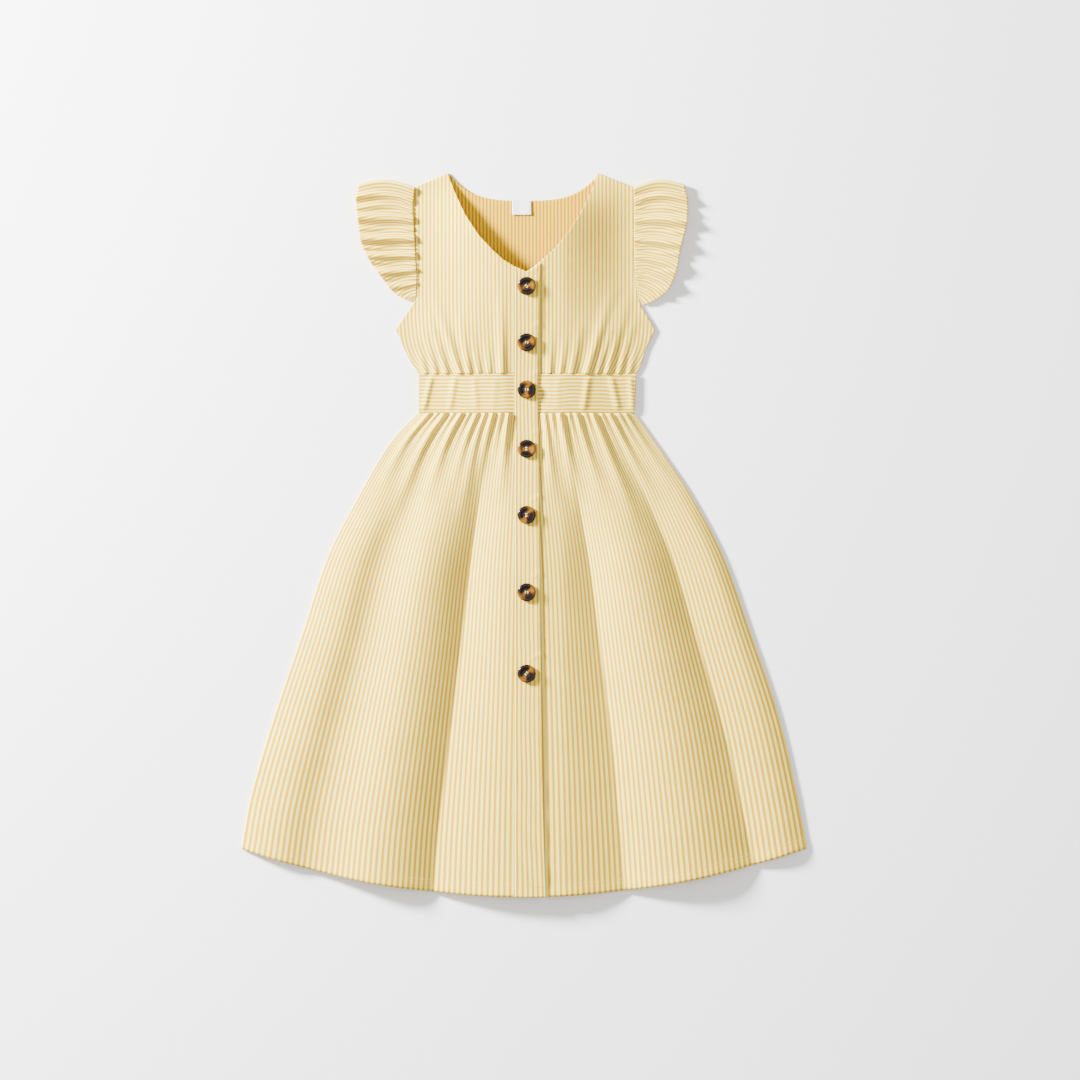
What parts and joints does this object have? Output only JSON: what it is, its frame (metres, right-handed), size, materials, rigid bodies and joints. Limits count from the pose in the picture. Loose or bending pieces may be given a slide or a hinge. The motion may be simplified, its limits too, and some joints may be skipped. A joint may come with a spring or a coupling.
{
  "type": "sundress",
  "caption": "Girl's striped poplin sundress laid flat: V neck, flutter sleeves, wide waistband, gathered skirt and a buttoned front band.",
  "frame": {"origin": "middle of the box that holds the dress, on the surface it lies on", "axes": "+Y runs up the dress from hem to neck, +X across it to the right of a person facing its front, +Z out of its front"},
  "size_m": [0.6226, 0.7953, 0.0217],
  "materials": {
    "poplin": "thin woven cotton poplin, fine yellow and white candy stripe, soft matt sheen",
    "tortoiseshell": "polished resin, dark brown with amber patches",
    "label": "white woven satin tape, bare"
  },
  "bodies": {
    "root": {"skirt_back": "poplin", "bodice_back": "poplin", "waistband_back": "poplin", "skirt_front_left": "poplin", "skirt_front_right": "poplin", "bodice_front_left": "poplin", "bodice_front_right": "poplin", "waistband_front_left": "poplin", "waistband_front_right": "poplin", "button_band": "poplin", "sleeve_left": "poplin", "sleeve_right": "poplin", "neck_label": "label", "button_1": "tortoiseshell", "button_2": "tortoiseshell", "button_3": "tortoiseshell", "button_4": "tortoiseshell", "button_5": "tortoiseshell", "button_6": "tortoiseshell", "button_7": "tortoiseshell"}
  },
  "joints": []
}
